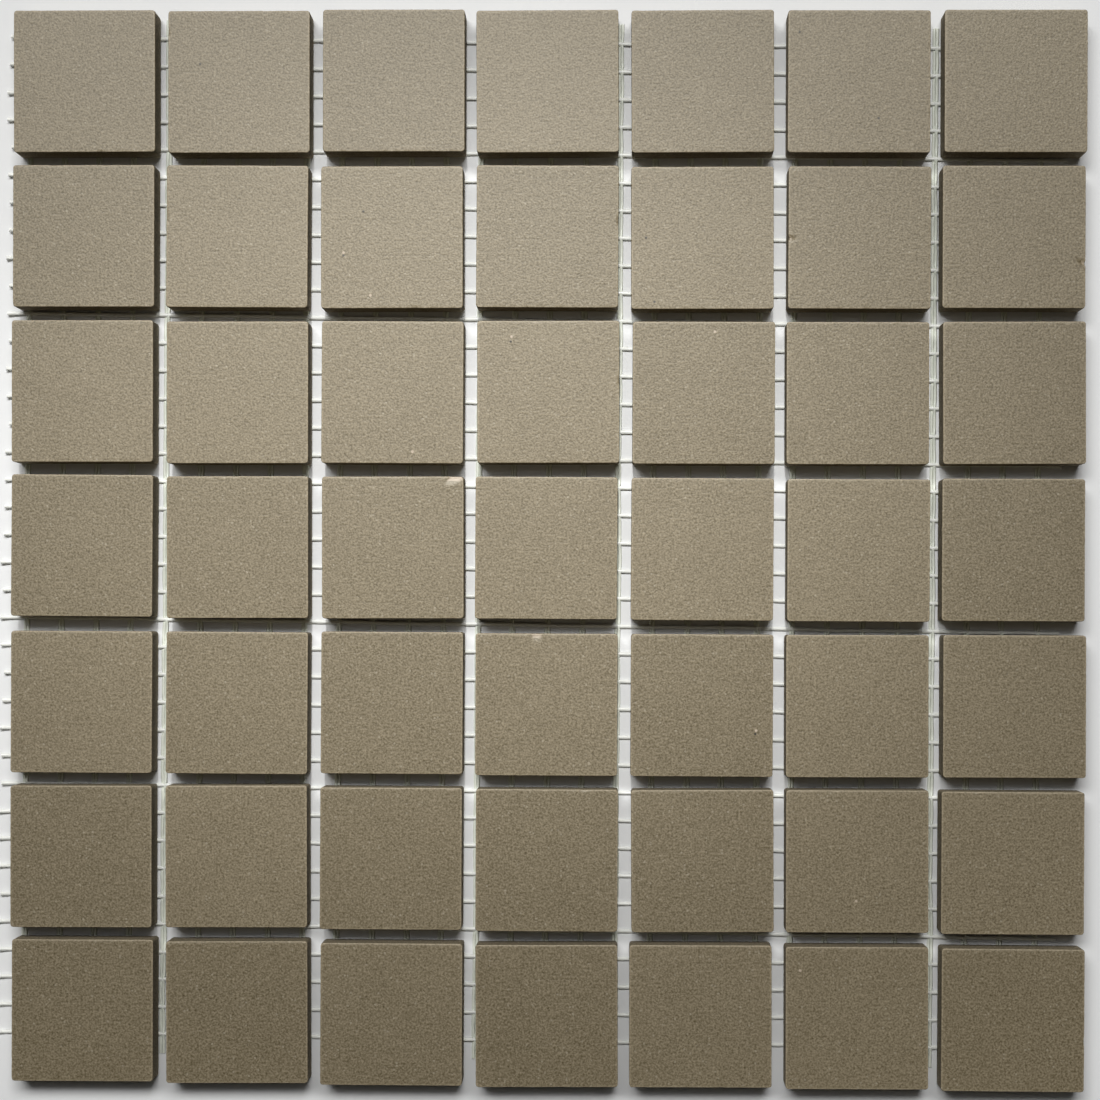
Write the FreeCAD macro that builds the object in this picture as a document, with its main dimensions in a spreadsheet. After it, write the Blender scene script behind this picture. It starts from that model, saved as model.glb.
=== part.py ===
import FreeCAD, Part
import Sketcher
import os
import random

# A sheet of square unglazed porcelain mosaic tiles on a glass-fibre net, lying face up.
# +Z is up, +X runs along a row of tiles and +Y towards row 1. The origin is under the
# middle of the sheet's outline, on the underside of the net.

SIZES = [
    ("rows", 7, "rows of tiles"),
    ("columns", 7, "tiles in a row"),
    ("tile_side", 20.0, "side of a tile's square face"),
    ("tile_thick", 4.0, "thickness of a tile"),
    ("arris", 0.2, "bevel round a tile's face"),
    ("joint", 1.85, "gap between two tiles"),
    ("lay_slack", 0.13, "furthest a tile lies from its place, each way"),
    ("lay_turn", 0.3, "furthest a tile is turned, in degrees"),
    ("slew", 0.65, "how far the last tile of the last row has slipped forwards"),
    ("warp_pitch", 4.97, "from one lengthwise strand of the net to the next"),
    ("warp_width", 0.95, "width of a lengthwise strand, two yarns side by side"),
    ("warp_thick", 0.2, "thickness of a lengthwise strand"),
    ("weft_pitch", 3.95, "from one crosswise roving of the net to the next"),
    ("weft_width", 0.42, "width of a crosswise roving"),
    ("weft_thick", 0.25, "thickness of a crosswise roving"),
    ("warp_tail", 2.8, "cut end of a strand past the last roving"),
    ("weft_tail", 3.4, "cut end of a roving past the last strand"),
    ("net_turn", 0.65, "how far the net lies turned clockwise, in degrees"),
    ("net_slip", 2.05, "how far the net's middle lies left of the tiles' middle"),
    ("net_rise", 0.85, "how far the net's middle lies behind the tiles' middle"),
]

# The field of tiles, and the net, which is cut to the field. The net is three strips, cut
# midway between two rovings: each is one piece of cloth bonded wherever its threads cross.
PITCH = "(sizes.tile_side + sizes.joint)"
FIELD_WIDTH = f"(sizes.columns * {PITCH} - sizes.joint)"
FIELD_LENGTH = f"(sizes.rows * {PITCH} - sizes.joint)"
WARPS = f"(floor(({FIELD_WIDTH} - 2 * sizes.weft_tail) / sizes.warp_pitch) + 1)"
WEFTS = f"(floor(({FIELD_LENGTH} - 2 * sizes.warp_tail) / sizes.weft_pitch) + 1)"
NET_WIDTH = f"(({WARPS} - 1) * sizes.warp_pitch + 2 * sizes.weft_tail)"
FIELD_X = f"((sizes.net_slip + {NET_WIDTH} / 2 - {FIELD_WIDTH} / 2) / 2)"
STRIPS = ["net_back", "net_middle", "net_front"]

# Which of many ways of laying the tiles by eye is drawn.
LAYING = 20


def make_sheet():
    """The spreadsheet of sizes, each under its own alias, with its meaning beside it."""
    sheet = doc.addObject("Spreadsheet::Sheet", "sizes")
    for line, (alias, value, meaning) in enumerate(SIZES, start=1):
        sheet.set(f"A{line}", str(value))
        sheet.setAlias(f"A{line}", alias)
        sheet.set(f"B{line}", meaning)
    doc.recompute()
    return sheet


def datum(body, role):
    """One of the body's own origin planes or axes."""
    return next(feature for feature in body.Origin.OriginFeatures if feature.Role == role)


def pad_bar(body, name, width, length, height, middle):
    """Pad a rectangle upwards. middle is where the rectangle's middle lies in the body."""
    sketch = body.newObject("Sketcher::SketchObject", f"{name}_outline")
    sketch.AttachmentSupport = [(datum(body, "XY_Plane"), "")]
    sketch.MapMode = "FlatFace"
    for axis, expression in zip("xyz", middle):
        sketch.setExpression(f".AttachmentOffset.Base.{axis}", expression)

    corners = [FreeCAD.Vector(x, y) for x, y in ((-1, -1), (1, -1), (1, 1), (-1, 1))]
    for start, end in zip(corners, corners[1:] + corners[:1]):
        sketch.addGeometry(Part.LineSegment(start, end))
    for side, direction in enumerate(["Horizontal", "Vertical"] * 2):
        sketch.addConstraint(Sketcher.Constraint("Coincident", side, 2, (side + 1) % 4, 1))
        sketch.addConstraint(Sketcher.Constraint(direction, side))
    sketch.addConstraint(Sketcher.Constraint("Symmetric", 0, 1, 2, 1, -1, 1))
    for kind, side, size_name, expression in (("DistanceX", 0, "width", width),
                                              ("DistanceY", 1, "length", length)):
        size = sketch.addConstraint(Sketcher.Constraint(kind, side, 1, side, 2, 2.0))
        sketch.renameConstraint(size, size_name)
        sketch.setExpression(f"Constraints.{size_name}", expression)

    pad = body.newObject("PartDesign::Pad", name)
    pad.Profile = sketch
    pad.setExpression("Length", height)
    return pad


def make_tile(row, column, chance):
    """A pressed tile: a square slab with a small bevel round its face."""
    body = doc.addObject("PartDesign::Body", f"tile_{row + 1}_{column + 1}")
    slab = pad_bar(body, f"slab_{row + 1}_{column + 1}", "sizes.tile_side", "sizes.tile_side",
                   "sizes.tile_thick", ("0", "0", "0"))
    doc.recompute()
    face = max(slab.Shape.Faces, key=lambda side: side.CenterOfMass.z)
    arris = body.newObject("PartDesign::Chamfer", f"arris_{row + 1}_{column + 1}")
    arris.Base = (slab, [f"Edge{number}" for number, edge in enumerate(slab.Shape.Edges, start=1)
                         if any(edge.isSame(border) for border in face.Edges)])
    arris.setExpression("Size", "sizes.arris")
    body.Tip = arris

    # Each tile is laid by eye: a little off its place, and a little turned.
    aside, ahead, turned = (chance.uniform(-1, 1) for _ in range(3))
    slewed = f"sizes.slew * {row * column} / ((sizes.rows - 1) * (sizes.columns - 1))"
    place = {
        "Base.x": f"{FIELD_X} + {PITCH} * ({column} - (sizes.columns - 1) / 2)"
                  f" + sizes.lay_slack * {aside:.3f}",
        "Base.y": f"{PITCH} * ((sizes.rows - 1) / 2 - {row}) - {slewed}"
                  f" + sizes.lay_slack * {ahead:.3f}",
        "Base.z": "sizes.warp_thick + sizes.weft_thick",
        "Rotation.Angle": f"sizes.lay_turn * {turned:.3f}",
    }
    for part_of_place, expression in place.items():
        body.setExpression(f"Placement.{part_of_place}", expression)
    return body


def make_net_strip(number, name):
    """A strip of the net: thin crosswise rovings bonded on top of flat lengthwise strands."""
    body = doc.addObject("PartDesign::Body", name)
    behind = f"floor({WEFTS} * {number} / {len(STRIPS)})"
    rovings = f"(floor({WEFTS} * {number + 1} / {len(STRIPS)}) - {behind})"
    back_roving = f"(({WEFTS} - 1) / 2 - {behind}) * sizes.weft_pitch"

    # The outer strips also have the strands' cut ends, in place of half a pitch.
    tail = "(sizes.warp_tail - sizes.weft_pitch / 2)"
    tails = f"{int(name == STRIPS[0])} * {tail}", f"{int(name == STRIPS[-1])} * {tail}"
    strand_length = f"{rovings} * sizes.weft_pitch + {tails[0]} + {tails[1]}"
    strand_middle = (f"{back_roving} - ({rovings} - 1) / 2 * sizes.weft_pitch"
                     f" + ({tails[0]} - {tails[1]}) / 2")

    roving = pad_bar(body, f"{name}_roving", NET_WIDTH, "sizes.weft_width", "sizes.weft_thick",
                     ("0", back_roving, "sizes.warp_thick"))
    strand = pad_bar(body, f"{name}_strand", "sizes.warp_width", strand_length,
                     "sizes.warp_thick",
                     (f"-({WARPS} - 1) / 2 * sizes.warp_pitch", strand_middle, "0"))
    for original, axis, pitch, count, reverse in (
            (strand, "X_Axis", "sizes.warp_pitch", WARPS, False),
            (roving, "Y_Axis", "sizes.weft_pitch", rovings, True)):
        pattern = body.newObject("PartDesign::LinearPattern", f"{original.Name}s")
        pattern.Originals = [original]
        pattern.Direction = (datum(body, axis), [""])
        pattern.Reversed = reverse
        pattern.Mode = "Spacing"
        pattern.setExpression("Offset", pitch)
        pattern.setExpression("Occurrences", count)
        body.Tip = pattern
        doc.recompute()

    # Clockwise, seen from above, is a negative turn about +Z.
    body.setExpression("Placement.Base.x", f"{FIELD_X} - sizes.net_slip")
    body.setExpression("Placement.Base.y", "sizes.net_rise")
    body.setExpression("Placement.Rotation.Angle", "-sizes.net_turn")
    return body


doc = FreeCAD.newDocument("MosaicTileSheet")
sizes = make_sheet()
laying = random.Random(LAYING)
pieces = [make_tile(row, column, laying)
          for row in range(int(sizes.rows)) for column in range(int(sizes.columns))]
pieces += [make_net_strip(number, name) for number, name in enumerate(STRIPS)]
doc.recompute()

failed = [item.Label for item in doc.Objects if {"Invalid", "Error"} & set(item.State)]
if failed:
    raise RuntimeError(f"not rebuilt: {failed}")
for piece in pieces:
    if piece.Shape.isNull() or not piece.Shape.isValid() or len(piece.Shape.Solids) != 1:
        raise RuntimeError(f"{piece.Label} is not one valid solid")

os.makedirs("parts", exist_ok=True)
for piece in pieces:
    piece.Shape.exportStep(f"parts/{piece.Label}.step")
print(f"{len(pieces)} pieces, {sum(piece.Shape.Volume for piece in pieces) / 1000:.2f} cm3")
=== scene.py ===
import math
import random

import bpy
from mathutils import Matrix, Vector


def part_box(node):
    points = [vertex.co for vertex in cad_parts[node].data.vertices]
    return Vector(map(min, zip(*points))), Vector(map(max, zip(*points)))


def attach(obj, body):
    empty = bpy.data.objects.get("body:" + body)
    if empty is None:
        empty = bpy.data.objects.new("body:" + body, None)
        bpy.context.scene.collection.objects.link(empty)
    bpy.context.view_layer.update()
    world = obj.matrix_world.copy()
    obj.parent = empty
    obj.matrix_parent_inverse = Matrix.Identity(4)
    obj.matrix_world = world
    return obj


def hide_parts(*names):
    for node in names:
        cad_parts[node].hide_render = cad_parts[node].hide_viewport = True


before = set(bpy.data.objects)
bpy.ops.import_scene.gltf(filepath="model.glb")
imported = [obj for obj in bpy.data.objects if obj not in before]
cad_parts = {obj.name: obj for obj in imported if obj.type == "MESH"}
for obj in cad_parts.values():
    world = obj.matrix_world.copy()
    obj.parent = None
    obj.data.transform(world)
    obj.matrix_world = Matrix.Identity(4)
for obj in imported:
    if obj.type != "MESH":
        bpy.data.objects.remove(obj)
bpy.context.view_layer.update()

# The camera hangs over the sheet and looks down on it from 0.3 m above the tiles, a little
# towards their right-hand columns, as in the photograph, which is 1100 x 1100 pixels.
MM = 0.001
PHOTO_SIDE = 1100
TILE_PIXELS = 142.25                 # side of a tile's face in the photograph
FIELD_MIDDLE = (546.7, 549.5)        # where the photograph has the middle of the tiles
TILE_SIDE = 20 * MM
LENS_HEIGHT = 303 * MM               # above the tiles' faces
SHIFT = (-0.03, 0.059)               # of the lens, in picture widths
LEAN = math.radians(0.8)             # of the camera's line of sight, towards +X
TWIST = math.radians(0.14)           # of the camera about its line of sight
SENSOR_WIDTH = 36                    # in mm, as the lens's focal length is
NEAREST, FURTHEST = 0.01, 10         # that the camera sees

tile_nodes = sorted(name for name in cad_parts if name.startswith("tile_"))
tile_boxes = {name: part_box(name) for name in tile_nodes}


def box_round(boxes):
    """The box round several boxes."""
    low = Vector([min(box[0][axis] for box in boxes) for axis in range(3)])
    high = Vector([max(box[1][axis] for box in boxes) for axis in range(3)])
    return low, high


field_low, field_high = box_round(tile_boxes.values())
field = (field_low + field_high) / 2

lens = bpy.data.cameras.new("lens")
camera = bpy.data.objects.new("camera", lens)
bpy.context.scene.collection.objects.link(camera)
bpy.context.scene.camera = camera
pixels_per_metre = TILE_PIXELS / TILE_SIDE
focal_pixels = pixels_per_metre * LENS_HEIGHT
lens.sensor_fit = "HORIZONTAL"
lens.sensor_width = SENSOR_WIDTH
lens.lens = lens.sensor_width * focal_pixels / PHOTO_SIDE
lens.shift_x, lens.shift_y = SHIFT
lens.clip_start, lens.clip_end = NEAREST, FURTHEST

# Where the line of sight has to meet the faces for the field's middle to fall on its pixel.
off_axis = [(FIELD_MIDDLE[0] - PHOTO_SIDE / 2) + SHIFT[0] * PHOTO_SIDE,
            (PHOTO_SIDE / 2 - FIELD_MIDDLE[1]) + SHIFT[1] * PHOTO_SIDE]
aim = Vector((field.x - off_axis[0] / pixels_per_metre,
              field.y - off_axis[1] / pixels_per_metre, field_high.z))
camera.location = aim + Vector((math.tan(LEAN), 0, 1)) * LENS_HEIGHT
camera.rotation_euler = (0, LEAN, TWIST)


# The sheet lies on plain white paper. One large soft window beyond its back edge lights it,
# a softened lamp in front of the window adds a pool of light in the middle, and a little
# light comes from the room all round.
PAPER, PAPER_ROUGHNESS = (0.88, 0.885, 0.88), 0.9
PAPER_REACH = 3.0


class Amount:
    """A number that a socket carries. Arithmetic on it adds Math nodes to its tree."""

    def __init__(self, tree, socket):
        self.tree, self.socket = tree, socket

    def math(self, operation, *others, first=None):
        node = self.tree.new_node("ShaderNodeMath", {"operation": operation},
                                  dict(enumerate([first if first is not None else self, *others])))
        return Amount(self.tree, node.outputs[0])

    def __add__(self, other):
        return self.math("ADD", other)

    def __sub__(self, other):
        return self.math("SUBTRACT", other)

    def __rsub__(self, other):
        return self.math("SUBTRACT", self, first=other)

    def __mul__(self, other):
        return self.math("MULTIPLY", other)

    def __truediv__(self, other):
        return self.math("DIVIDE", other)

    def __rtruediv__(self, other):
        return self.math("DIVIDE", self, first=other)

    def __gt__(self, other):
        return self.math("GREATER_THAN", other)

    def __lt__(self, other):
        return self.math("LESS_THAN", other)

    __radd__, __rmul__ = __add__, __mul__

    def above(self, low, high):
        """0 under low, 1 over high, and a smooth rise between."""
        node = self.tree.new_node("ShaderNodeMapRange", {"interpolation_type": "SMOOTHSTEP"},
                                  {0: self, 1: low, 2: high})
        return Amount(self.tree, node.outputs[0])


class Recipe:
    """The node tree of a finish or of a way of making, written as calls."""

    def __init__(self, tree):
        self.tree = tree

    def feed(self, node, links):
        """Link or set some of a node's sockets."""
        for slot, value in links.items():
            if isinstance(value, Amount):
                value = value.socket
            if isinstance(value, bpy.types.NodeSocket):
                self.tree.links.new(value, node.inputs[slot])
            else:
                node.inputs[slot].default_value = value

    def new_node(self, kind, settings=None, links=None):
        node = self.tree.nodes.new(kind)
        for name, value in (settings or {}).items():
            setattr(node, name, value)
        self.feed(node, links or {})
        return node

    def amount(self, kind, settings=None, links=None, output=0):
        return Amount(self, self.new_node(kind, settings, links).outputs[output])


def new_finish(name, **constants):
    """A material, its recipe and its Principled shader, with the sockets that are constant."""
    material = bpy.data.materials.new(name)
    material.use_nodes = True
    recipe = Recipe(material.node_tree)
    shader = material.node_tree.nodes["Principled BSDF"]
    recipe.feed(shader, {socket.replace("_", " "): value for socket, value in constants.items()})
    return material, recipe, shader


def mesh_object(name, vertices, faces):
    mesh = bpy.data.meshes.new(name)
    mesh.from_pydata(vertices, [], faces)
    made = bpy.data.objects.new(name, mesh)
    bpy.context.scene.collection.objects.link(made)
    return made


paper_finish, _, _ = new_finish("white_paper", Base_Color=(*PAPER, 1), Roughness=PAPER_ROUGHNESS)
paper = mesh_object("paper", [(x * PAPER_REACH, y * PAPER_REACH, 0)
                              for x, y in ((-1, -1), (1, -1), (1, 1), (-1, 1))], [(0, 1, 2, 3)])
paper.data.materials.append(paper_finish)

WINDOW_SIZE = (1.0, 0.34)
CURTAIN_SIZE = (1.3, 0.9)            # a dimmer glow all round the window
WINDOW_REACH = 1.25                  # from the sheet to the window
WINDOW_RISE = math.radians(61.5)     # of the window above the paper
WINDOW_ASIDE = math.radians(-9)      # of the window, from straight behind the sheet
WINDOW_POWER = 13.2
CURTAIN_POWER = 2.6
LAMP_POWER = 31.0
LAMP_ASIDE = math.radians(-3)
LAMP_RADIUS = 0.02
POOL_MIDDLE = (-0.013, 0.0095)       # of the pool of light, from the middle of the tiles
POOL_REACH = 0.066
POOL_STRETCH = 1.45                  # of the pool along the rows
ROOM_LIGHT = 0.006


def aimed_lamp(name, kind, power, aside, aim):
    """A lamp behind the sheet, as high as the window, turned to face a point of it."""
    lamp = bpy.data.lights.new(name, kind)
    lamp.energy = power
    holder = bpy.data.objects.new(name, lamp)
    bpy.context.scene.collection.objects.link(holder)
    away = Vector((math.sin(aside), math.cos(aside), 0)) * math.cos(WINDOW_RISE)
    holder.location = field + (away + Vector((0, 0, math.sin(WINDOW_RISE)))) * WINDOW_REACH
    holder.rotation_euler = (aim - holder.location).to_track_quat("-Z", "Y").to_euler()
    return holder


for name, power, size in (("window", WINDOW_POWER, WINDOW_SIZE),
                          ("curtain", CURTAIN_POWER, CURTAIN_SIZE)):
    pane = aimed_lamp(name, "AREA", power, WINDOW_ASIDE, field).data
    pane.shape = "RECTANGLE"
    pane.size, pane.size_y = size
pool = aimed_lamp("softened_lamp", "SPOT", LAMP_POWER, LAMP_ASIDE, field + Vector((*POOL_MIDDLE, 0)))
pool.scale.x = POOL_STRETCH
pool.data.spot_size = 2 * math.atan(POOL_REACH / WINDOW_REACH)
pool.data.spot_blend = 1.0
pool.data.shadow_soft_size = LAMP_RADIUS

world = bpy.data.worlds.new("room")
bpy.context.scene.world = world
world.use_nodes = True
Recipe(world.node_tree).feed(world.node_tree.nodes["Background"],
                             {"Color": (1, 1, 1, 1), "Strength": ROOM_LIGHT})
bpy.context.scene.view_settings.view_transform = "Standard"


# Each tile is pressed from porcelain powder and fired without glaze, so the body's fine
# grain is its face. Its sides are sharp from the die, with nibbled arrises, and it is glued
# by its back to the net.
TILE_THICK = 4 * MM
ARRIS = 0.08 * MM
CORNER = 0.36 * MM
CHIP_BAND = 0.2 * MM                 # between two rings of the face, where a chip can reach
OUTLINE_STEPS, CORNER_STEPS = 288, 6
MERGE_REACH = 0.004 * MM
tile_recipe = Recipe(bpy.data.node_groups.new("pressed_tile", "GeometryNodeTree"))


def add_sockets(recipe, sockets):
    """Give a tree its named inputs and its one output, and return the inputs by name."""
    interface = recipe.tree.interface
    interface.new_socket("Geometry", in_out="OUTPUT", socket_type="NodeSocketGeometry")
    for name, kind in sockets.items():
        interface.new_socket(name, in_out="INPUT", socket_type=f"NodeSocket{kind}")
    inputs = recipe.new_node("NodeGroupInput").outputs
    return {name: Amount(recipe, inputs[name]) for name in sockets}


def pick(recipe, number, choices):
    """One of a list of amounts, by its number."""
    node = recipe.new_node("GeometryNodeIndexSwitch", {"data_type": "FLOAT"})
    while len(node.index_switch_items) < len(choices):
        node.index_switch_items.new()
    recipe.feed(node, {0: number, **dict(enumerate(choices, start=1))})
    return Amount(recipe, node.outputs[0])


def split(recipe, vector):
    node = recipe.new_node("ShaderNodeSeparateXYZ", links={0: vector})
    return [Amount(recipe, output) for output in node.outputs]


def join(recipe, *parts):
    return recipe.amount("ShaderNodeCombineXYZ", links=dict(enumerate(parts)))


given = add_sockets(tile_recipe, {
    "Side": "Float", "Thickness": "Float", "Corner": "Float", "Arris": "Float",
    "Wear": "Float", "Seed": "Float", "Chip Place": "Vector", "Chip Reach": "Float",
    "Chip Depth": "Float", "Chip Paleness": "Float", "Tone": "Float", "Place": "Vector",
    "Turn": "Vector", "Finish": "Material"})
half, thick, arris = given["Side"] / 2, given["Thickness"], given["Arris"]

# Rings from the middle of the back to the middle of the face: how far each lies inside the
# outline, its height, how much rubbing takes off it, which also lightens its colour, partly as a
# painted highlight, and how much a chip takes.
rings = [
    (half, 0.0, 0, 0), (half * 0.5, 0.0, 0, 0), (arris * 3, 0.0, 0, 0), (arris, 0.0, 0.4, 0),
    (0.0, arris, 0.4, 0), (0.0, thick * 0.5, 0, 0), (0.0, thick - arris * 8, 0, 0),
    (0.0, thick - arris * 4, 0.1, 0.5), (0.0, thick - arris, 1, 1),
    (arris * 0.3, thick - arris * 0.3, 1, 1), (arris, thick, 1, 1),
    (arris + CHIP_BAND * 0.3, thick, 0.7, 1), (arris + CHIP_BAND, thick, 0.1, 1),
    (arris + CHIP_BAND * 2, thick, 0, 0.9), (arris + CHIP_BAND * 3, thick, 0, 0),
    (half * 0.15, thick, 0, 0), (half * 0.4, thick, 0, 0), (half * 0.7, thick, 0, 0),
    (half, thick, 0, 0)]
grid = tile_recipe.new_node("GeometryNodeMeshGrid", links={
    "Size X": 1.0, "Size Y": 1.0, "Vertices X": OUTLINE_STEPS + 1, "Vertices Y": len(rings)})
along, ring, _ = split(tile_recipe, tile_recipe.new_node("GeometryNodeInputPosition").outputs[0])
ring_number = ((ring + 0.5) * (len(rings) - 1)).math("ROUND")
square = tile_recipe.new_node("GeometryNodeCurvePrimitiveQuadrilateral", links={
    "Width": given["Side"], "Height": given["Side"]})
outline = tile_recipe.new_node("GeometryNodeFilletCurve", {"mode": "POLY"}, {
    "Curve": square.outputs[0], "Count": CORNER_STEPS, "Radius": given["Corner"],
    "Limit Radius": True})
edge_point = tile_recipe.new_node(
    "GeometryNodeSampleCurve", {"mode": "FACTOR", "use_all_curves": True},
    {"Curves": outline.outputs[0], "Factor": along + 0.5}).outputs["Position"]
across, ahead, _ = split(tile_recipe, edge_point)

# The arris is nibbled all along, and here and there a flake has come off. A chip is a larger
# flake at one place, with a ragged border.
NIBBLES, FLAKES = 900, 260           # to the metre
NIBBLE_RANGE, FLAKE_RANGE = (0.35, 0.8), (0.7, 0.82)
FLAKE_DEPTH = 2.0                    # of a flake against a nibble
CHIP_RAGGED = 0.5 * MM
CHIP_CORE = 0.75                     # share of a chip's reach that has its full depth
FLAKE_DRAW, CHIP_DRAW = 5.0, 9.0     # where in the noise each is read


def tile_noise(scale, detail, draw):
    where = join(tile_recipe, across, ahead, given["Seed"] + draw)
    return tile_recipe.amount("ShaderNodeTexNoise", {"noise_dimensions": "3D"}, {
        "Vector": where, "Scale": scale, "Detail": detail, "Roughness": 0.6})


nibble = tile_noise(NIBBLES, 2.0, 0.0).above(*NIBBLE_RANGE)
flake = tile_noise(FLAKES, 1.0, FLAKE_DRAW).above(*FLAKE_RANGE)
to_chip = tile_recipe.amount("ShaderNodeVectorMath", {"operation": "DISTANCE"},
                             {0: edge_point, 1: given["Chip Place"]}, output="Value")
jagged = to_chip + (tile_noise(NIBBLES * 2, 2.0, CHIP_DRAW) - 0.5) * CHIP_RAGGED
chip = 1 - jagged.above(given["Chip Reach"] * CHIP_CORE, given["Chip Reach"])
inset, height, share, chip_share = (pick(tile_recipe, ring_number, column)
                                    for column in zip(*rings))
chip = chip * chip_share
loss = given["Wear"] * (nibble + flake * FLAKE_DEPTH) * share + given["Chip Depth"] * chip
is_face = height > thick * 0.5
is_side = inset < arris * 0.1
inset = inset + loss
height = height + loss * (1 - is_face * 2)
keep = 1 - inset / half
place = join(tile_recipe, across * keep, ahead * keep, height)


def store(recipe, geometry, name, value):
    """Keep a value at every point, for the finish to read."""
    return recipe.new_node("GeometryNodeStoreNamedAttribute", {"data_type": "FLOAT", "domain": "POINT"},
                           {"Geometry": geometry, "Name": name, "Value": value}).outputs[0]


def finish_tree(recipe, geometry, material):
    whole = recipe.new_node("GeometryNodeRealizeInstances", links={"Geometry": geometry})
    dressed = recipe.new_node("GeometryNodeSetMaterial", links={
        "Geometry": whole.outputs[0], "Material": material})
    recipe.new_node("NodeGroupOutput", links={0: dressed.outputs[0]})


marked = grid.outputs["Mesh"]
for name, value in (("tone", given["Tone"]), ("worn_and_highlit", share),
                    ("chipped", chip * given["Chip Paleness"]), ("side", is_side)):
    marked = store(tile_recipe, marked, name, value)
shaped = tile_recipe.new_node("GeometryNodeSetPosition", links={
    "Geometry": marked, "Position": place})
closed = tile_recipe.new_node("GeometryNodeMergeByDistance", links={
    "Geometry": shaped.outputs[0], "Distance": MERGE_REACH})
smooth = tile_recipe.new_node("GeometryNodeSetShadeSmooth", links={"Geometry": closed.outputs[0]})
laid = tile_recipe.new_node("GeometryNodeTransform", links={
    "Geometry": smooth.outputs[0], "Translation": given["Place"], "Rotation": given["Turn"]})
finish_tree(tile_recipe, laid.outputs[0], given["Finish"])

# The clay is taupe all through, with lighter and darker grains in it. It is paler where it is
# freshly broken. Its edges are lighter, partly rubbed and partly as a painted highlight along the
# arrises. Its sides are rougher, and painted darker as painted shade of the narrow joints.
CLAY, FRESH_CLAY = (0.197, 0.1575, 0.093), (0.58, 0.47, 0.36)
GRAIN_TINT = (0.222, 0.19, 0.14)     # what the lighter grains add to the clay
LIGHT_GRAIN, DARK_GRAIN, PAINTED_SHADE_COLOUR = (0.4, 0.35, 0.26), (0.06, 0.045, 0.025), (0.014, 0.01, 0.006)
PAINTED_SIDE_SHADE = (0.9, 0.9, 0.9)
SHEEN, SHEEN_TINT = 0.74, (1, 0.965, 0.88, 1)
FACE_ROUGHNESS, SIDE_ROUGHER = 0.46, 0.5

# Mottling from the finest grain to broad clouds: its scale to the metre, and the noise's
# detail and roughness. Then how much each does to the shade, with a tile's tone and its lighter
# edges, which are partly rubbed and partly a painted highlight along the arrises.
GRAIN, COARSE, CLOUD = (3400, 2.0, 0.6), (1700, 2.0, 0.5), (170, 3.0, 0.5)
GRAIN_SHARE, COARSE_SHARE, CLOUD_SHARE, TONE_SHARE, WEAR_AND_HIGHLIGHT_SHARE = 2.0, 0.3, 0.15, 0.1, 0.45
RELIEF, COARSE_RELIEF, FLECK_RELIEF = 0.022 * MM, 0.8, 0.3

# Flecks: their scale to the metre, the share of cells that have one, and their reach in a cell.
LIGHT_FLECKS, DARK_FLECKS = (2300, 0.06, 0.45), (2700, 0.06, 0.4)
LIGHT_SHOWS, DARK_SHOWS, PROUD_SHOWS = 0.5, 0.4, 0.75

# Spots of painted shade: the few pits, where a grain fell out before the firing, with no hollow
# modelled, and painted shadows just below three of the raised grains. Those grains are pale and
# also painted lighter as a painted highlight on their lit tops, with no relief under them.
# Where each lies on the sheet, in mm.
PITS_AND_GRAIN_SHADOWS = [(36.3, 72.4), (47.4, 60.3), (-48.1, 68.0), (16.0, 34.5), (30.3, -26.2), (-4.2, 28.9),
        (-27.8, 41.0), (14.8, 43.5), (-25.0, 47.2)]
PROUD_GRAINS = [(30.4, -25.7), (-4.1, 29.6), (44.5, -49.6), (-18.0, 13.4), (24.5, 30.3),
                (-24.0, 35.4), (36.7, -59.4), (-27.8, 41.4)]
SHADED_SPOT_REACH, GRAIN_REACH = 0.235 * MM, 0.27 * MM
MARK_CORE = 0.4                      # share of a mark's reach that has its full colour

tile_finish, clay, shader = new_finish("unglazed_porcelain", Specular_IOR_Level=SHEEN,
                                       Specular_Tint=SHEEN_TINT)
spot = clay.new_node("ShaderNodeTexCoord").outputs["Object"]


def noise(recipe, where, scale, detail=2.0, roughness=0.5):
    return recipe.amount("ShaderNodeTexNoise", links={
        "Vector": where, "Scale": scale, "Detail": detail, "Roughness": roughness})


def mix(recipe, share, first, second, blend="MIX"):
    """Colours mixed by a share, which may be an amount."""
    colours = [(*value, 1) if isinstance(value, tuple) else value for value in (first, second)]
    return recipe.new_node("ShaderNodeMix", {"data_type": "RGBA", "blend_type": blend},
                           {"Factor": share, 6: colours[0], 7: colours[1]}).outputs[2]


def flecks(scale, kept, reach):
    """Small round grains of another colour, in some of the cells of a net of points."""
    cells = clay.new_node("ShaderNodeTexVoronoi", links={"Vector": spot, "Scale": scale})
    kind, _, _ = split(clay, cells.outputs["Color"])
    distance = Amount(clay, cells.outputs["Distance"])
    return (kind < kept) * (1 - distance.above(reach * 0.5, reach))


def marks(places, reach):
    """1 within reach of any of the places, and 0 elsewhere."""
    nearest = 1.0
    for x, y in places:
        away = clay.amount("ShaderNodeVectorMath", {"operation": "DISTANCE"},
                           {0: flat_spot, 1: (x * MM, y * MM, 0)}, output="Value")
        nearest = away.math("MINIMUM", nearest)
    return 1 - nearest.above(reach * MARK_CORE, reach)


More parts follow.
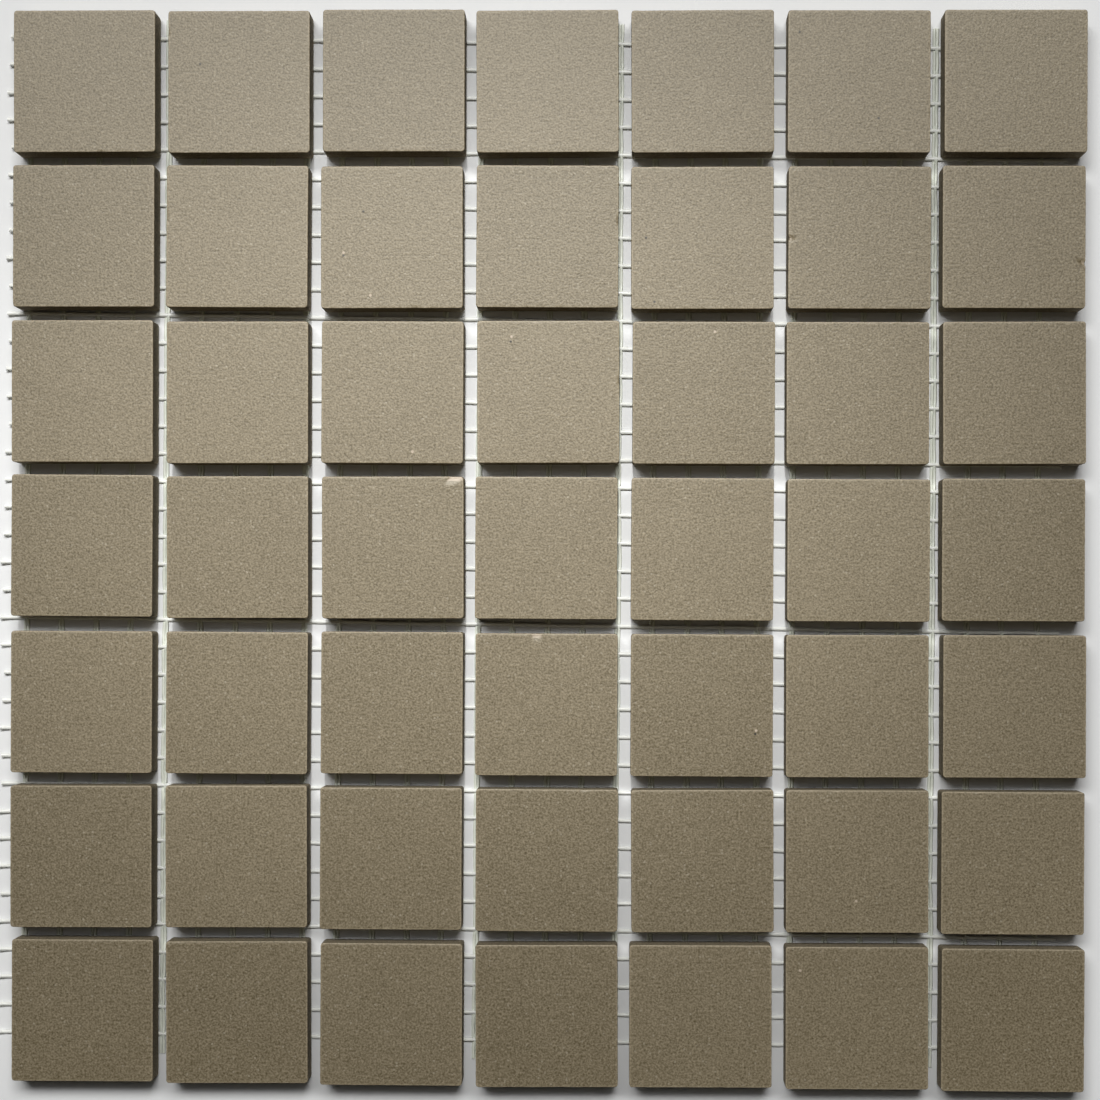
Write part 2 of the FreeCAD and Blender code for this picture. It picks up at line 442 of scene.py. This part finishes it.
grain, coarse, cloud = (noise(clay, spot, *sizes) for sizes in (GRAIN, COARSE, CLOUD))
tone, wear_and_highlight, chipped, side = (
    clay.amount("ShaderNodeAttribute", {"attribute_name": name}, output="Fac")
    for name in ("tone", "worn_and_highlit", "chipped", "side"))
light_fleck, dark_fleck = flecks(*LIGHT_FLECKS), flecks(*DARK_FLECKS)
flat_spot = clay.new_node("ShaderNodeVectorMath", {"operation": "MULTIPLY"},
                          {0: spot, 1: (1, 1, 0)}).outputs[0]
pale_and_lit_grain, shaded_spot = marks(PROUD_GRAINS, GRAIN_REACH), marks(PITS_AND_GRAIN_SHADOWS, SHADED_SPOT_REACH)
shade = ((grain - 0.5) * GRAIN_SHARE + (coarse - 0.5) * COARSE_SHARE
         + (cloud - 0.5) * CLOUD_SHARE + (tone - 0.5) * TONE_SHARE + wear_and_highlight * WEAR_AND_HIGHLIGHT_SHARE)
colour = clay.new_node("ShaderNodeVectorMath", {"operation": "MULTIPLY_ADD"},
                       {0: GRAIN_TINT, 1: join(clay, shade, shade, shade), 2: CLAY}).outputs[0]
for share, added in ((light_fleck * LIGHT_SHOWS, LIGHT_GRAIN), (dark_fleck * DARK_SHOWS, DARK_GRAIN),
                     (chipped, FRESH_CLAY)):
    colour = mix(clay, share, colour, added)
# Painted shade: the sides are darkened in the colour, for the shade they lie in between the tiles.
colour = mix(clay, side, colour, PAINTED_SIDE_SHADE, "MULTIPLY")
# Painted highlight on the raised grains' lit tops, and painted shade in the pits and below three
# grains.
for share, added in ((pale_and_lit_grain * PROUD_SHOWS, FRESH_CLAY), (shaded_spot, PAINTED_SHADE_COLOUR)):
    colour = mix(clay, share, colour, added)
relief = clay.new_node("ShaderNodeBump", links={
    "Strength": 1.0, "Distance": RELIEF,
    "Height": grain + coarse * COARSE_RELIEF + light_fleck * FLECK_RELIEF})
clay.feed(shader, {"Base Color": colour, "Roughness": side * SIDE_ROUGHER + FACE_ROUGHNESS,
                   "Normal": relief.outputs[0]})


def grow(name, recipe, values):
    """A new object whose mesh the recipe will make from these values."""
    piece = mesh_object(name, [], [])
    maker = piece.modifiers.new("making", "NODES")
    maker.node_group = recipe.tree
    for socket in recipe.tree.interface.items_tree:
        if socket.in_out == "INPUT":
            maker[socket.identifier] = values[socket.name]
    return piece


def harvest(pieces):
    """Turn each grown object into a plain mesh."""
    graph = bpy.context.evaluated_depsgraph_get()
    made = [bpy.data.meshes.new_from_object(piece.evaluated_get(graph)) for piece in pieces]
    for piece, mesh in zip(pieces, made):
        piece.modifiers.clear()
        piece.data = mesh


def turn_of(node, box):
    """How far a laid tile is turned, from the corner of its solid that lies back right."""
    middle = (Vector(box[0]) + Vector(box[1])) / 2
    corner = max((vertex.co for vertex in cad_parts[node].data.vertices),
                 key=lambda point: point.x + point.y)
    return math.atan2(corner.y - middle.y, corner.x - middle.x) - math.pi / 4


# The chips that show, by tile: where on its edge, from the tile's middle in mm, how far the
# chip reaches round there and how deep it is in mm, and how pale it is.
CHIPS = {"tile_4_3": (9.05, 10.0, 1.0, 0.08, 0.8), "tile_5_4": (-1.4, 10.0, 0.8, 0.05, 0.45),
         "tile_2_6": (-10.0, 0.0, 0.3, 0.18, 0.2), "tile_2_7": (10.0, -3.8, 0.26, 0.15, 0.3)}
NO_CHIP = (0.0, 0.0, 0.1, 0.0, 0.0)
WEAR = 0.03 * MM
WEAR_DRAWS = 60                      # how far apart the tiles' wear is read in the noise
chance = random.Random(3)
tiles = {}
for node in tile_nodes:
    low, high = tile_boxes[node]
    *chip_sizes, paleness = CHIPS.get(node, NO_CHIP)
    chip_x, chip_y, chip_reach, chip_depth = (size * MM for size in chip_sizes)
    tiles[node] = grow(f"porcelain_{node}", tile_recipe, {
        "Side": TILE_SIDE, "Thickness": TILE_THICK, "Corner": CORNER, "Arris": ARRIS,
        "Wear": WEAR, "Seed": chance.uniform(0, WEAR_DRAWS), "Chip Place": (chip_x, chip_y, 0),
        "Chip Reach": chip_reach, "Chip Depth": chip_depth, "Chip Paleness": paleness,
        "Tone": chance.random(),
        "Place": ((low[0] + high[0]) / 2, (low[1] + high[1]) / 2, low[2]),
        "Turn": (0, 0, turn_of(node, tile_boxes[node])), "Finish": tile_finish})
harvest(list(tiles.values()))
for node, tile in tiles.items():
    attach(tile, "root")
    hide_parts(node)


# The net is glass-fibre cloth dipped in resin. Each lengthwise strand is a pair of flat
# yarns, and one of them hops over every crosswise roving. Resin bonds them where they cross.
STRANDS, ROVINGS = 30, 37
STRAND_PITCH, ROVING_PITCH = 4.97 * MM, 3.95 * MM
STRAND_TAIL, ROVING_TAIL = 2.8 * MM, 3.5 * MM
YARN_WIDTH, YARN_THICK, YARN_SIDES = 0.5 * MM, 0.19 * MM, 5
YARN_ASIDE = 0.22 * MM               # of each yarn of a pair, from the strand's middle
YARN_LEVEL, HOP_LEVEL = YARN_THICK / 2, 0.355 * MM
HOP_REACH = 0.95 * MM                # of the hop before and behind a roving
PINCH = 0.35                         # how much closer the pair is drawn at a roving
STEPS_PER_PITCH = 8
ROVING_WIDTH, ROVING_THICK, ROVING_SIDES = 0.56 * MM, 0.34 * MM, 7
ROVING_LEVEL = 0.44 * MM - ROVING_THICK / 2
ROVING_SAG = 0.04 * MM               # between two strands
STEPS_PER_STRAND = 4
CURL, CURL_FROM = 0.35 * MM, 1.6 * MM    # rise of a free end, and its start past the last strand
RAGGEDNESS = 0.5 * MM
BEAD_SIZE = (0.98 * MM, 0.62 * MM, 0.3 * MM)
BEAD_FULLNESS, BEAD_DROP = (0.75, 1.1), 0.1 * MM
BEAD_TINT = 0.6                      # of a bead, between a strand's 0 and a roving's 1
NET_TURN = math.radians(-0.73)
NET_SHIFT = 0.42 * MM                # to the left, of the cloth as it shows in the joints
SKEW = math.tan(math.radians(0.45))  # of the strands against the rovings
STRIPS = ["net_back", "net_middle", "net_front"]
net_low, net_high = box_round([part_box(name) for name in STRIPS])
net_middle = Vector(((net_low.x + net_high.x) / 2 - NET_SHIFT,
                     (net_low.y + net_high.y) / 2, net_low.z))

net_recipe = Recipe(bpy.data.node_groups.new("leno_net", "GeometryNodeTree"))
given = add_sockets(net_recipe, {
    "Strands": "Int", "Rovings": "Int", "Low": "Float", "High": "Float", "First Roving": "Float",
    "Strand Pitch": "Float", "Roving Pitch": "Float", "Roving Tail": "Float",
    "Raggedness": "Float", "Seed": "Int", "Middle": "Vector", "Turn": "Vector",
    "Finish": "Material"})


def thread(line, sides, width, thickness):
    """A flat oval thread along a line."""
    ring = net_recipe.new_node("GeometryNodeCurvePrimitiveCircle", {"mode": "RADIUS"},
                               {"Resolution": sides, "Radius": 0.5})
    oval = net_recipe.new_node("GeometryNodeTransform", links={
        "Geometry": ring.outputs[0], "Scale": (width, thickness, 1)})
    return net_recipe.new_node("GeometryNodeCurveToMesh", links={
        "Curve": line, "Profile Curve": oval.outputs[0], "Fill Caps": True}).outputs[0]


def divided_line(start, end, count):
    line = net_recipe.new_node("GeometryNodeCurvePrimitiveLine", links={"Start": start, "End": end})
    return net_recipe.new_node("GeometryNodeResampleCurve", {"mode": "COUNT"},
                               {"Curve": line.outputs[0], "Count": count}).outputs[0]


def offset(geometry, move):
    return net_recipe.new_node("GeometryNodeSetPosition", links={
        "Geometry": geometry, "Offset": move}).outputs[0]


def row_of_points(count, start, step):
    return net_recipe.new_node("GeometryNodeMeshLine", {"mode": "OFFSET"}, {
        "Count": count, "Start Location": start, "Offset": step}).outputs[0]


def copies(geometry, points, scale=(1, 1, 1)):
    return net_recipe.new_node("GeometryNodeInstanceOnPoints", links={
        "Points": points, "Instance": geometry, "Scale": scale}).outputs[0]


def realized(geometry):
    return net_recipe.new_node("GeometryNodeRealizeInstances", links={
        "Geometry": geometry}).outputs[0]


def random_amount(low, high, seed):
    return net_recipe.amount("FunctionNodeRandomValue", {"data_type": "FLOAT"},
                             {2: low, 3: high, "Seed": seed}, output=1)


def joined(*parts):
    node = net_recipe.new_node("GeometryNodeJoinGeometry")
    for part in parts:
        net_recipe.feed(node, {0: part})
    return node.outputs[0]


# The pair of yarns of one strand, and its copies.
steps = ((given["High"] - given["Low"]) / given["Roving Pitch"] * STEPS_PER_PITCH).math("CEIL")
position = net_recipe.new_node("GeometryNodeInputPosition").outputs[0]
crosswise, lengthwise, _ = split(net_recipe, position)
pitches = (lengthwise - given["First Roving"]) / given["Roving Pitch"]
to_roving = (pitches - pitches.math("ROUND")).math("ABSOLUTE") * given["Roving Pitch"]
hop = 1 - to_roving.above(0.0, HOP_REACH)
drawn_in = 1 - hop * PINCH
yarns = []
for aside, level in ((-YARN_ASIDE, YARN_LEVEL),
                     (YARN_ASIDE, hop * (HOP_LEVEL - YARN_LEVEL) + YARN_LEVEL)):
    yarn = divided_line(join(net_recipe, 0.0, given["Low"], 0.0),
                        join(net_recipe, 0.0, given["High"], 0.0), steps + 1)
    yarn = offset(yarn, join(net_recipe, drawn_in * aside, 0.0, level))
    yarns.append(thread(yarn, YARN_SIDES, YARN_WIDTH, YARN_THICK))
half_width = (given["Strands"] - 1) * given["Strand Pitch"] / 2
strand_step = join(net_recipe, given["Strand Pitch"], 0.0, 0.0)
strand_points = row_of_points(given["Strands"], join(net_recipe, half_width * -1, 0.0, 0.0),
                              strand_step)
strands = store(net_recipe, copies(joined(*yarns), strand_points), "crosswise", 0.0)

# One roving, which sags between the strands and curls up at its free end, and its copies,
# cut off raggedly.
SLIP_DRAW, BEAD_DRAW = 7, 3          # which series of chances each takes after the seed
reach = half_width + given["Roving Tail"]
roving = divided_line(join(net_recipe, reach * -1, 0.0, 0.0), join(net_recipe, reach, 0.0, 0.0),
                      given["Strands"] * STEPS_PER_STRAND)
swell = ((crosswise + half_width) / given["Strand Pitch"] * math.tau).math("COSINE")
curl = (crosswise * -1 - half_width).above(CURL_FROM, given["Roving Tail"]) * CURL
roving = offset(roving, join(net_recipe, 0.0, 0.0,
                             (swell - 1) * (ROVING_SAG / 2) + curl + ROVING_LEVEL))
roving = thread(roving, ROVING_SIDES, ROVING_WIDTH, ROVING_THICK)
crossing_points = row_of_points(given["Rovings"],
                                join(net_recipe, 0.0, given["First Roving"], 0.0),
                                join(net_recipe, 0.0, given["Roving Pitch"] * -1, 0.0))
shorter = random_amount(1 - given["Raggedness"] / reach, 1.0, given["Seed"])
slipped = random_amount(given["Raggedness"] * -0.5, given["Raggedness"] * 0.5,
                        given["Seed"] + SLIP_DRAW)
roving_points = offset(crossing_points, join(net_recipe, slipped, 0.0, 0.0))
rovings = store(net_recipe, copies(roving, roving_points, join(net_recipe, shorter, 1.0, 1.0)),
                "crosswise", 1.0)

# A bead of resin at each crossing.
bead = net_recipe.new_node("GeometryNodeMeshUVSphere", links={
    "Segments": 8, "Rings": 4, "Radius": 0.5}).outputs["Mesh"]
bead_row = row_of_points(given["Strands"],
                         join(net_recipe, half_width * -1, 0.0, ROVING_LEVEL - BEAD_DROP),
                         strand_step)
crossings = realized(copies(bead_row, crossing_points))
bead_scale = net_recipe.new_node(
    "ShaderNodeVectorMath", {"operation": "SCALE"},
    {0: BEAD_SIZE, "Scale": random_amount(*BEAD_FULLNESS, given["Seed"] + BEAD_DRAW)})
beads = store(net_recipe, copies(bead, crossings, bead_scale.outputs[0]), "crosswise", BEAD_TINT)

# The strands are drawn a little askew with their beads, and all threads waver between their
# crossings.
WAVER, WAVER_SCALE = 0.5 * MM, 110.0
askew = offset(realized(joined(strands, beads)), join(net_recipe, lengthwise * -SKEW, 0.0, 0.0))
waver = net_recipe.new_node("ShaderNodeTexNoise", links={
    "Vector": position, "Scale": WAVER_SCALE, "Detail": 2.0}).outputs["Color"]
for operation, by in (("SUBTRACT", (0.5, 0.5, 0.5)), ("MULTIPLY", (WAVER, WAVER, 0))):
    waver = net_recipe.new_node("ShaderNodeVectorMath", {"operation": operation},
                                {0: waver, 1: by}).outputs[0]
rounded = net_recipe.new_node("GeometryNodeSetShadeSmooth", links={
    "Geometry": offset(realized(joined(askew, rovings)), waver)})
lying = net_recipe.new_node("GeometryNodeTransform", links={
    "Geometry": rounded.outputs[0], "Translation": given["Middle"], "Rotation": given["Turn"]})
finish_tree(net_recipe, lying.outputs[0], given["Finish"])

# The resin is glossy over fine filaments, and milky in places. The rovings are whiter than
# the greenish strands.
STRAND_COLOUR, ROVING_COLOUR = (0.87, 0.9, 0.79), (0.94, 0.95, 0.89)
RESIN_ROUGHNESS = 0.32
MILKY_SCALE, FILAMENT_SCALE = 700, 9000
FILAMENT_STRETCH = 0.03              # how much slower the noise runs along the filaments
MOTTLE = 0.25
FIBRE_RELIEF = 0.03 * MM
net_finish, glass, shader = new_finish("resin_coated_glass_fibre", Roughness=RESIN_ROUGHNESS)
spot = glass.new_node("ShaderNodeTexCoord").outputs["Object"]
is_roving = glass.amount("ShaderNodeAttribute", {"attribute_name": "crosswise"}, output="Fac")


def filaments(stretch):
    """Noise drawn out along one axis, as the filaments of a yarn lie."""
    drawn = glass.new_node("ShaderNodeVectorMath", {"operation": "MULTIPLY"}, {0: spot, 1: stretch})
    return noise(glass, drawn.outputs[0], FILAMENT_SCALE)


milky = noise(glass, spot, MILKY_SCALE, 3.0)
fibre = (filaments((1, FILAMENT_STRETCH, 1)) * (1 - is_roving)
         + filaments((FILAMENT_STRETCH, 1, 1)) * is_roving)
colour = mix(glass, is_roving, STRAND_COLOUR, ROVING_COLOUR)
shade = (milky - 0.5) * MOTTLE + (fibre - 0.5) * MOTTLE + 1
colour = glass.new_node("ShaderNodeVectorMath", {"operation": "SCALE"}, {0: colour, "Scale": shade})
relief = glass.new_node("ShaderNodeBump", links={
    "Strength": 1.0, "Distance": FIBRE_RELIEF, "Height": fibre})
glass.feed(shader, {"Base Color": colour.outputs[0], "Normal": relief.outputs[0]})

# The cloth is three strips, as the solids are, cut midway between two rovings.
length = (ROVINGS - 1) * ROVING_PITCH
strips = {}
for number, node in enumerate(STRIPS):
    before, after = (ROVINGS * edge // len(STRIPS) for edge in (number, number + 1))
    first = length / 2 - before * ROVING_PITCH
    last = length / 2 - (after - 1) * ROVING_PITCH
    high = first + (STRAND_TAIL if node == STRIPS[0] else ROVING_PITCH / 2)
    low = last - (STRAND_TAIL if node == STRIPS[-1] else ROVING_PITCH / 2)
    strips[node] = grow(f"mesh_{node}", net_recipe, {
        "Strands": STRANDS, "Rovings": after - before, "Low": low, "High": high,
        "First Roving": first, "Strand Pitch": STRAND_PITCH, "Roving Pitch": ROVING_PITCH,
        "Roving Tail": ROVING_TAIL, "Raggedness": RAGGEDNESS, "Seed": number,
        "Middle": net_middle, "Turn": (0, 0, NET_TURN), "Finish": net_finish})
harvest(list(strips.values()))
for node, strip in strips.items():
    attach(strip, "root")
    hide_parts(node)
